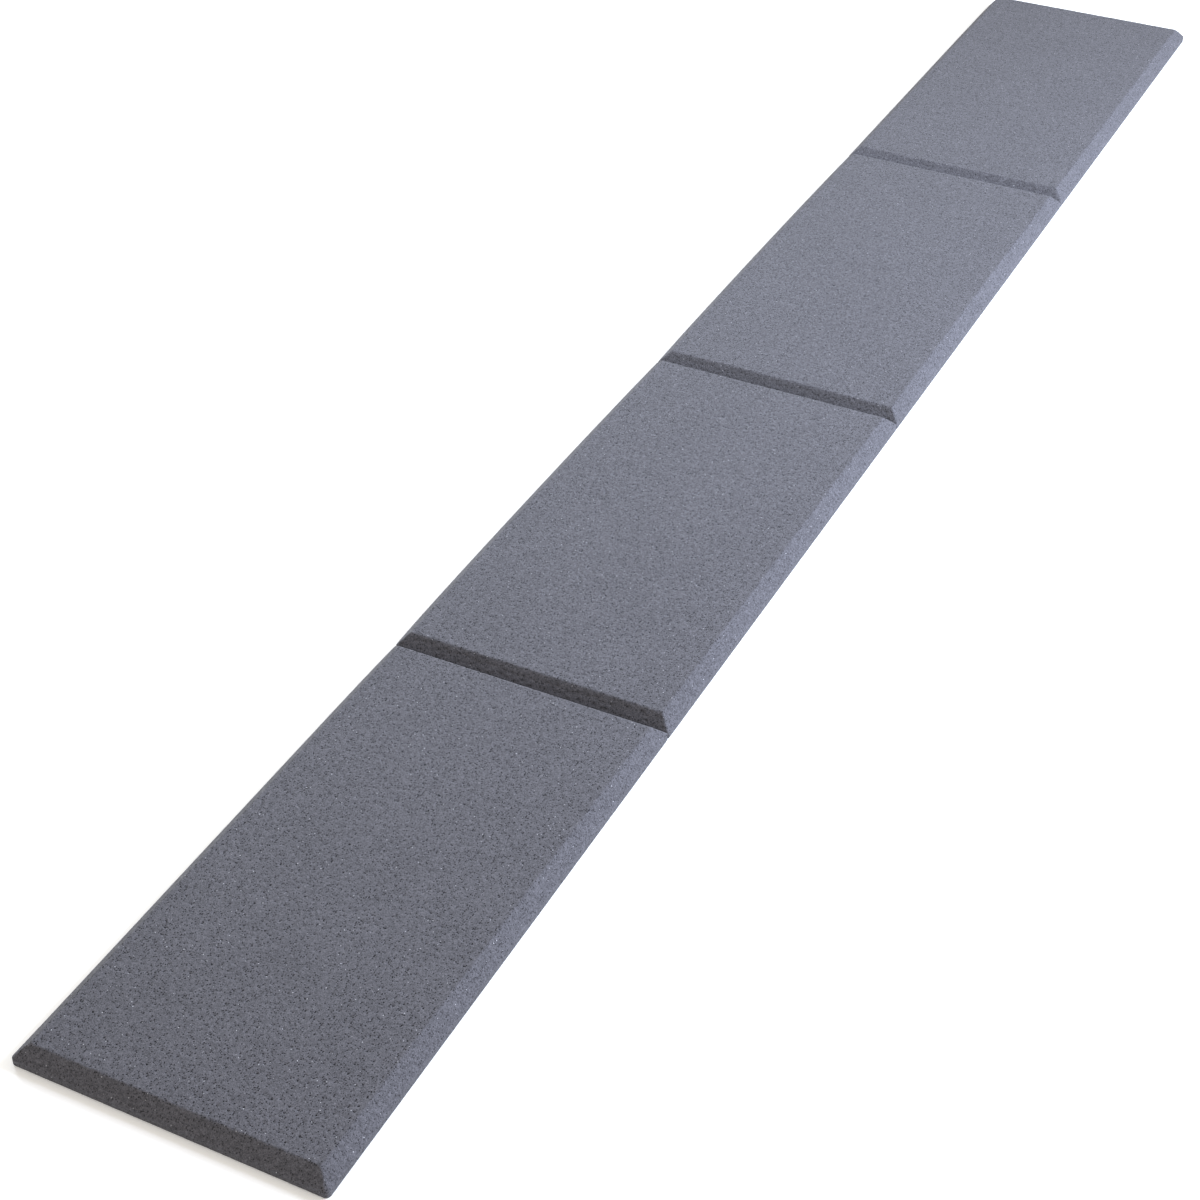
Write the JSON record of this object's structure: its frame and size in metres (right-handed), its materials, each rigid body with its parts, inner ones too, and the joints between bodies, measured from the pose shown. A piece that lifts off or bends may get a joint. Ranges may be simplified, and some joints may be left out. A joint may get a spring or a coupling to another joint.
{
  "type": "bevelled foam panel row",
  "caption": "Row of loose flat oblong open-cell foam panels, each bevelled on all sides down to a short rim, butted end to end so the bevels form V-grooves.",
  "frame": {"origin": "middle of the row, on the plane of the panels' flat backs", "axes": "+Z out of the panels' faces, +Y along the row from foam_panel_1 to foam_panel_4, +X across the row"},
  "size_m": [0.3, 2.4012, 0.02],
  "materials": {
    "foam": "matte"
  },
  "bodies": {
    "foam_panel_1": {"foam_panel_1": "foam"},
    "foam_panel_2": {"foam_panel_2": "foam"},
    "foam_panel_3": {"foam_panel_3": "foam"},
    "foam_panel_4": {"foam_panel_4": "foam"}
  },
  "joints": [
    {"name": "foam_panel_2_lift", "type": "slide", "parent": "foam_panel_1", "child": "foam_panel_2", "axis": [0, 0, 1], "range_m": [0, 0.06]},
    {"name": "foam_panel_3_lift", "type": "slide", "parent": "foam_panel_1", "child": "foam_panel_3", "axis": [0, 0, 1], "range_m": [0, 0.06]},
    {"name": "foam_panel_4_lift", "type": "slide", "parent": "foam_panel_1", "child": "foam_panel_4", "axis": [0, 0, 1], "range_m": [0, 0.06]}
  ]
}
